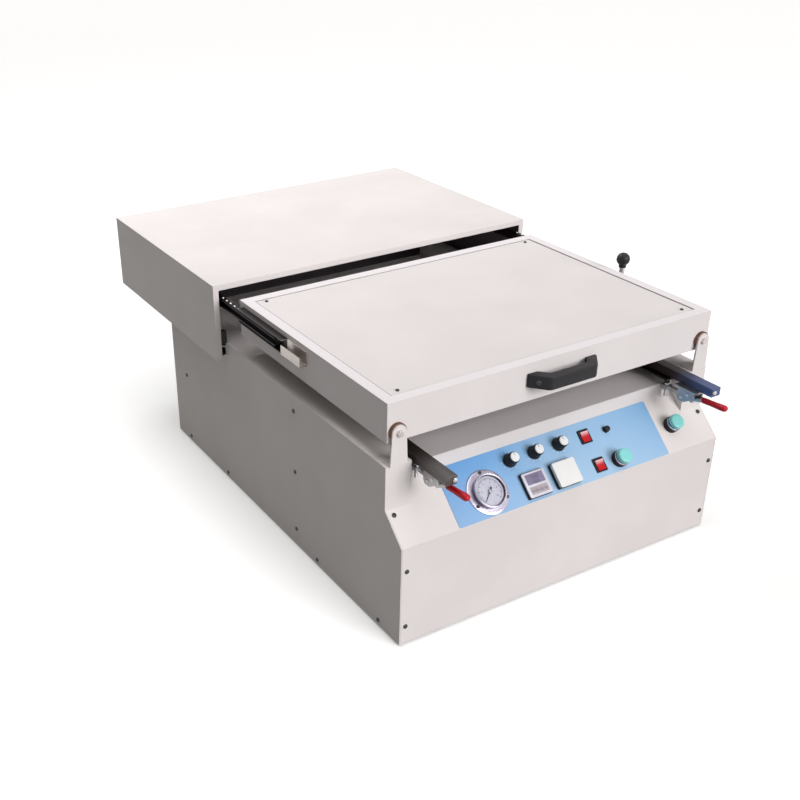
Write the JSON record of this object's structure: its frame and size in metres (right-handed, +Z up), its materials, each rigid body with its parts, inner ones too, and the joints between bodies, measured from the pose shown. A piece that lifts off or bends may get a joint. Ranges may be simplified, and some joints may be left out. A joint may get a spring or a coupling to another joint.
{
  "type": "hobby vacuum forming machine",
  "caption": "Bench vacuum forming machine with a sliding heater box under a rear hood, sheet clamping frame, rising perforated platen and sloping control panel.",
  "frame": {"origin": "on the floor under the middle of the whole machine's bounding box", "axes": "+Z up, +Y from the control panel to the hood, +X to the lever side"},
  "size_m": [0.725, 1.141, 0.4495],
  "materials": {
    "painted_sheet": "fine texture powder coat",
    "hood_paint": "fine texture powder coat",
    "heater_paint": "fine texture powder coat",
    "black_rubber": "matt",
    "silicone": "soft",
    "zinc_steel": "zinc plated",
    "magnet_steel": "nickel plated",
    "frame_steel": "semi-gloss",
    "vinyl_grip": "dipped vinyl",
    "overlay_print": "printed film",
    "instrument_black": "moulded",
    "counter_white": "moulded",
    "mint_green": "moulded",
    "switch_red": "moulded",
    "gauge_chrome": "polished bezel, white dial",
    "clear_lens": "clear",
    "needle_black": "painted",
    "pot_metal": "plain",
    "bronze_bush": "sintered",
    "ground_steel": "ground",
    "platen_aluminium": "machined",
    "pump_casting": "painted",
    "tank_paint": "gloss",
    "element_ceramic": "glazed",
    "relay_plastic": "moulded"
  },
  "bodies": {
    "cabinet": {"base_pan": "painted_sheet", "left_side_panel": "painted_sheet", "right_side_panel": "painted_sheet", "front_panel": "painted_sheet", "top_deck": "painted_sheet", "rear_panel": "painted_sheet", "rubber_pads": "black_rubber", "hood_shell": "hood_paint", "hood_rails": "zinc_steel", "slide_outer_members": "zinc_steel", "stop_brackets": "painted_sheet", "pot_magnets": "magnet_steel", "lower_frame": "frame_steel", "frame_gasket": "silicone", "upper_frame": "frame_steel", "frame_hinges": "zinc_steel", "clamp_bases": "zinc_steel", "control_overlay": "overlay_print", "gauge_case": "gauge_chrome", "gauge_lens": "clear_lens", "temperature_controller": "instrument_black", "cycle_counter": "counter_white", "potentiometers": "pot_metal", "electrical_housings": "instrument_black", "button_housings": "instrument_black", "shaft_bearings": "bronze_bush", "guide_posts": "ground_steel", "vacuum_pump": "pump_casting", "vacuum_tank": "tank_paint", "relay_rail": "relay_plastic", "case_screws": "zinc_steel"},
    "heater": {"heater_shell": "heater_paint", "heater_lid": "heater_paint", "heater_screws": "zinc_steel", "reflector": "platen_aluminium", "quartz_elements": "element_ceramic", "heater_handle": "instrument_black", "slide_inner_members": "zinc_steel"},
    "slide_middle": {"slide_middle_members": "zinc_steel"},
    "platen": {"platen": "platen_aluminium", "plenum_box": "platen_aluminium", "lift_racks": "ground_steel"},
    "lever": {"lever_shaft": "ground_steel", "lever_rod": "ground_steel", "ball_knob": "instrument_black"},
    "clamp_bar_left": {"clamp_bar_left": "zinc_steel"},
    "clamp_bar_right": {"clamp_bar_right": "zinc_steel"},
    "clamp_handle_left": {"clamp_handle_left": "vinyl_grip"},
    "clamp_handle_right": {"clamp_handle_right": "vinyl_grip"},
    "clamp_link_left": {"clamp_link_left": "zinc_steel"},
    "clamp_link_right": {"clamp_link_right": "zinc_steel"},
    "knob_1": {"knob_1": "instrument_black"},
    "knob_2": {"knob_2": "instrument_black"},
    "knob_3": {"knob_3": "instrument_black"},
    "rocker_1": {"rocker_1": "switch_red"},
    "rocker_2": {"rocker_2": "switch_red"},
    "start_button": {"start_button": "mint_green"},
    "side_button": {"side_button": "mint_green"},
    "reset_button": {"reset_button": "instrument_black"},
    "gauge_needle": {"gauge_needle": "needle_black"}
  },
  "joints": [
    {"name": "heater_slide", "type": "slide", "parent": "cabinet", "child": "heater", "axis": [0, 1, 0], "range_m": [0, 0.48]},
    {"name": "slide_middle_travel", "type": "slide", "parent": "cabinet", "child": "slide_middle", "axis": [0, 1, 0], "range_m": [0, 0.24]},
    {"name": "platen_lift", "type": "slide", "parent": "cabinet", "child": "platen", "axis": [0, 0, 1], "range_m": [0, 0.06632]},
    {"name": "lever_swing", "type": "hinge", "parent": "cabinet", "child": "lever", "pos_m": [0, -0.2195, 0.13], "axis": [1, 0, 0], "range_deg": [0, 95.1]},
    {"name": "clamp_bar_left_pivot", "type": "hinge", "parent": "cabinet", "child": "clamp_bar_left", "pos_m": [-0.269, -0.4825, 0.283], "axis": [-1, 0, 0], "range_deg": [0, 12.05]},
    {"name": "clamp_handle_left_pivot", "type": "hinge", "parent": "clamp_bar_left", "child": "clamp_handle_left", "pos_m": [-0.269, -0.4985, 0.28], "axis": [1, 0, 0], "range_deg": [0, 50.74]},
    {"name": "clamp_link_left_pivot", "type": "hinge", "parent": "cabinet", "child": "clamp_link_left", "pos_m": [-0.269, -0.4945, 0.292], "axis": [-1, 0, 0], "range_deg": [0, 29.3]},
    {"name": "clamp_bar_right_pivot", "type": "hinge", "parent": "cabinet", "child": "clamp_bar_right", "pos_m": [0.269, -0.4825, 0.283], "axis": [-1, 0, 0], "range_deg": [0, 12.05]},
    {"name": "clamp_handle_right_pivot", "type": "hinge", "parent": "clamp_bar_right", "child": "clamp_handle_right", "pos_m": [0.269, -0.4985, 0.28], "axis": [1, 0, 0], "range_deg": [0, 50.74]},
    {"name": "clamp_link_right_pivot", "type": "hinge", "parent": "cabinet", "child": "clamp_link_right", "pos_m": [0.269, -0.4945, 0.292], "axis": [-1, 0, 0], "range_deg": [0, 29.3]},
    {"name": "knob_1_turn", "type": "hinge", "parent": "cabinet", "child": "knob_1", "pos_m": [-0.0903, -0.44781, 0.24345], "axis": [0, -0.6854, 0.7282], "range_deg": [-150, 150]},
    {"name": "knob_2_turn", "type": "hinge", "parent": "cabinet", "child": "knob_2", "pos_m": [-0.0392, -0.44781, 0.24345], "axis": [0, -0.6854, 0.7282], "range_deg": [-150, 150]},
    {"name": "knob_3_turn", "type": "hinge", "parent": "cabinet", "child": "knob_3", "pos_m": [0.0132, -0.44781, 0.24345], "axis": [0, -0.6854, 0.7282], "range_deg": [-150, 150]},
    {"name": "rocker_1_tilt", "type": "hinge", "parent": "cabinet", "child": "rocker_1", "pos_m": [0.0715, -0.44692, 0.24017], "axis": [1, 0, 0], "range_deg": [-12, 0]},
    {"name": "rocker_2_tilt", "type": "hinge", "parent": "cabinet", "child": "rocker_2", "pos_m": [0.0745, -0.48624, 0.20316], "axis": [1, 0, 0], "range_deg": [-12, 0]},
    {"name": "start_button_press", "type": "slide", "parent": "cabinet", "child": "start_button", "axis": [0, 0.6854, -0.7282], "range_m": [0, 0.0024], "stiffness_N_per_m": 400},
    {"name": "side_button_press", "type": "slide", "parent": "cabinet", "child": "side_button", "axis": [0, 0.6854, -0.7282], "range_m": [0, 0.0024], "stiffness_N_per_m": 400},
    {"name": "reset_button_press", "type": "slide", "parent": "cabinet", "child": "reset_button", "axis": [0, 0.6854, -0.7282], "range_m": [0, 0.0015], "stiffness_N_per_m": 300},
    {"name": "gauge_needle_turn", "type": "hinge", "parent": "cabinet", "child": "gauge_needle", "pos_m": [-0.154, -0.4804, 0.22322], "axis": [0, 0.6854, -0.7282], "range_deg": [0, 270], "stiffness_Nm_per_rad": 0.0005}
  ],
  "couplings": [
    {"joint": "slide_middle_travel", "follows": "heater_slide", "ratio": 0.5},
    {"joint": "lever_swing", "follows": "platen_lift", "rad_per_m": 25},
    {"joint": "clamp_bar_left_pivot", "follows": "clamp_handle_left_pivot", "ratio": 0.2365},
    {"joint": "clamp_link_left_pivot", "follows": "clamp_handle_left_pivot", "ratio": 0.57529},
    {"joint": "clamp_bar_right_pivot", "follows": "clamp_handle_right_pivot", "ratio": 0.2365},
    {"joint": "clamp_link_right_pivot", "follows": "clamp_handle_right_pivot", "ratio": 0.57529}
  ]
}
